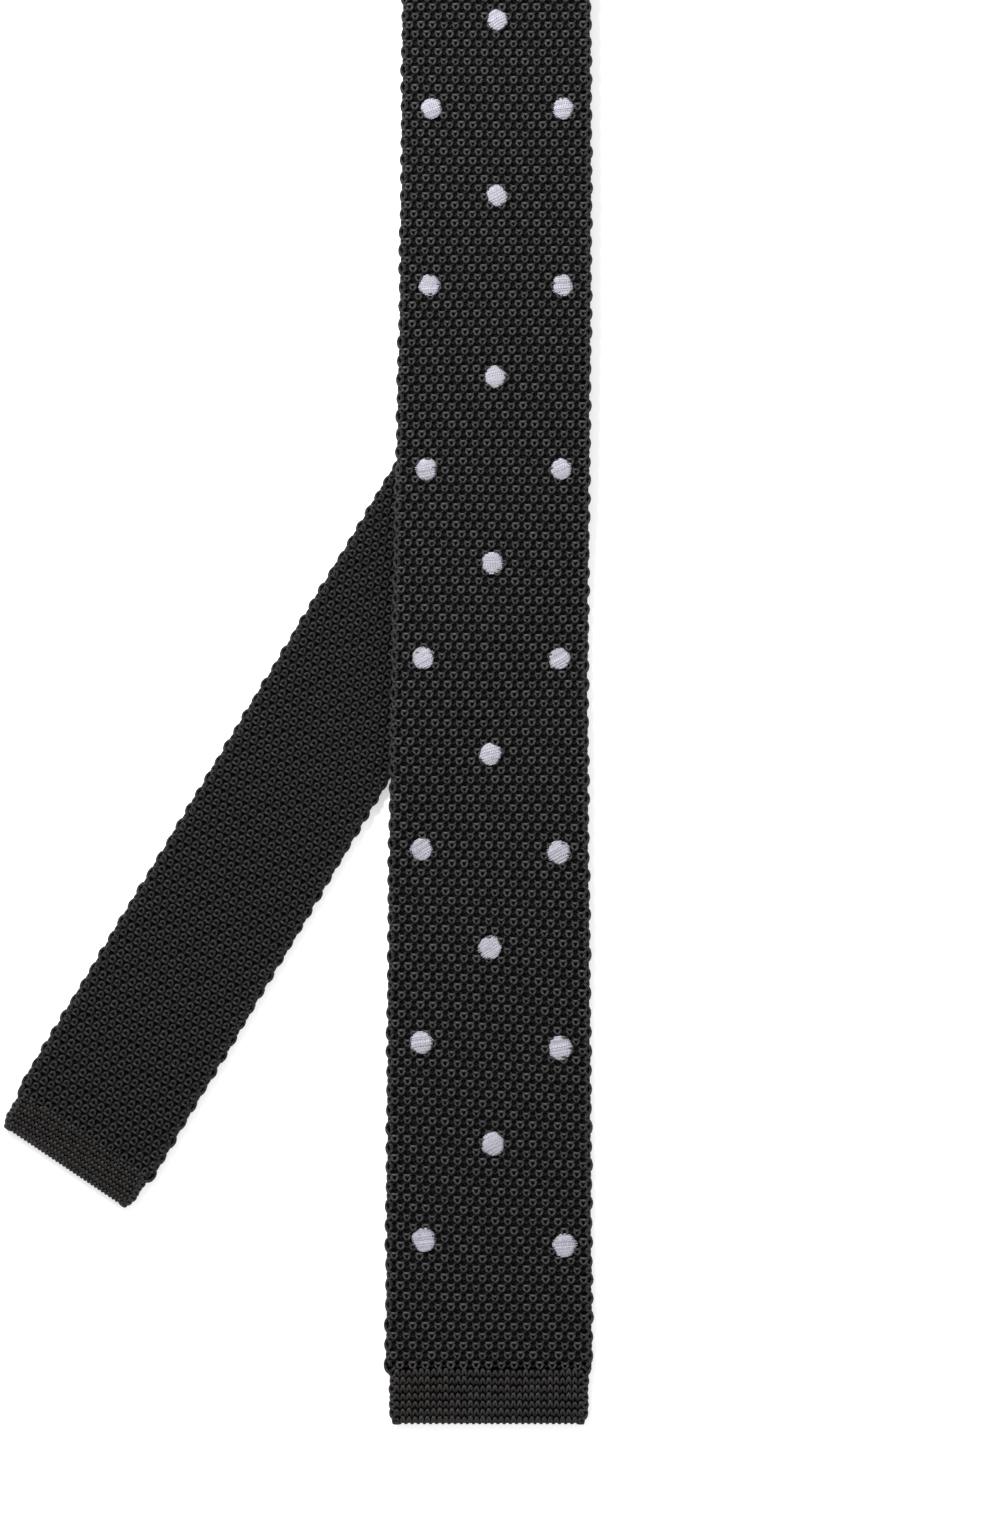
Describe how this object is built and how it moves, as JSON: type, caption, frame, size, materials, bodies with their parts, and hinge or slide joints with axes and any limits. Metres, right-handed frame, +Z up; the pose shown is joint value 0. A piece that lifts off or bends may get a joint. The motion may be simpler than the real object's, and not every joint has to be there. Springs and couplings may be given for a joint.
{
  "type": "knitted necktie",
  "caption": "Square-ended tubular knit necktie with embroidered dots, folded in half at the neck and laid flat, with its tail swung out to one side.",
  "frame": {"origin": "middle of the lower edge of the front blade's tip, on the surface that the tie lies on", "axes": "+Y from the front tip up to the neck fold, +X to the right seen from above, +Z up from the surface"},
  "size_m": [0.1759, 0.7452, 0.0106],
  "materials": {
    "knit_front": "ribbed silk knit, front face",
    "knit_tail": "fine knit, back face",
    "hem_knit": "plain knit",
    "dot_silk": "satin stitch, soft sheen",
    "sewing_thread": "spun thread",
    "ribbon": "grosgrain ribbon",
    "stay_tape": "woven cotton tape",
    "label_satin": "blank woven satin"
  },
  "bodies": {
    "tail_neck": {"tail_upper_tube": "knit_tail", "tail_stay_tape": "stay_tape", "tail_tape_tack": "sewing_thread"},
    "fold_lower": {"neck_fold_lower": "knit_tail", "fold_lower_tape": "stay_tape"},
    "fold_upper": {"neck_fold_upper": "knit_front", "fold_upper_tape": "stay_tape"},
    "front": {"front_blade_tube": "knit_front", "front_hem_band": "hem_knit", "front_tip_seam": "sewing_thread", "embroidered_dots": "dot_silk", "dot_backing_threads": "sewing_thread", "keeper_loop": "ribbon", "keeper_bar_tacks": "sewing_thread", "care_label": "label_satin", "care_label_stitches": "sewing_thread", "front_stay_tape": "stay_tape", "front_tape_tack": "sewing_thread"},
    "tail_blade": {"tail_blade_tube": "knit_tail"},
    "tail_end": {"tail_end_tube": "knit_tail", "tail_hem_band": "hem_knit", "tail_tip_seam": "sewing_thread"}
  },
  "joints": [
    {"name": "neck_fold_first", "type": "hinge", "parent": "tail_neck", "child": "fold_lower", "pos_m": [0, 0.7418, 0.00218], "axis": [-1, 0, 0], "range_deg": [0, 60]},
    {"name": "neck_fold_second", "type": "hinge", "parent": "fold_lower", "child": "fold_upper", "pos_m": [0, 0.7436, 0.0053], "axis": [-1, 0, 0], "range_deg": [0, 60]},
    {"name": "neck_fold", "type": "hinge", "parent": "fold_upper", "child": "front", "pos_m": [0, 0.7418, 0.00842], "axis": [-1, 0, 0], "range_deg": [0, 60]},
    {"name": "tail_swing", "type": "hinge", "parent": "tail_neck", "child": "tail_blade", "pos_m": [0.00069, 0.2962, 0.0017], "axis": [0, 0, -1], "range_deg": [0, 35]},
    {"name": "tail_lift", "type": "hinge", "parent": "tail_blade", "child": "tail_end", "pos_m": [-0.06251, 0.18416, 0.0036], "axis": [-0.8581, 0.5135, 0], "range_deg": [0, 150]}
  ],
  "couplings": [
    {"joint": "neck_fold_first", "follows": "neck_fold", "ratio": 1},
    {"joint": "neck_fold_second", "follows": "neck_fold", "ratio": 1}
  ]
}
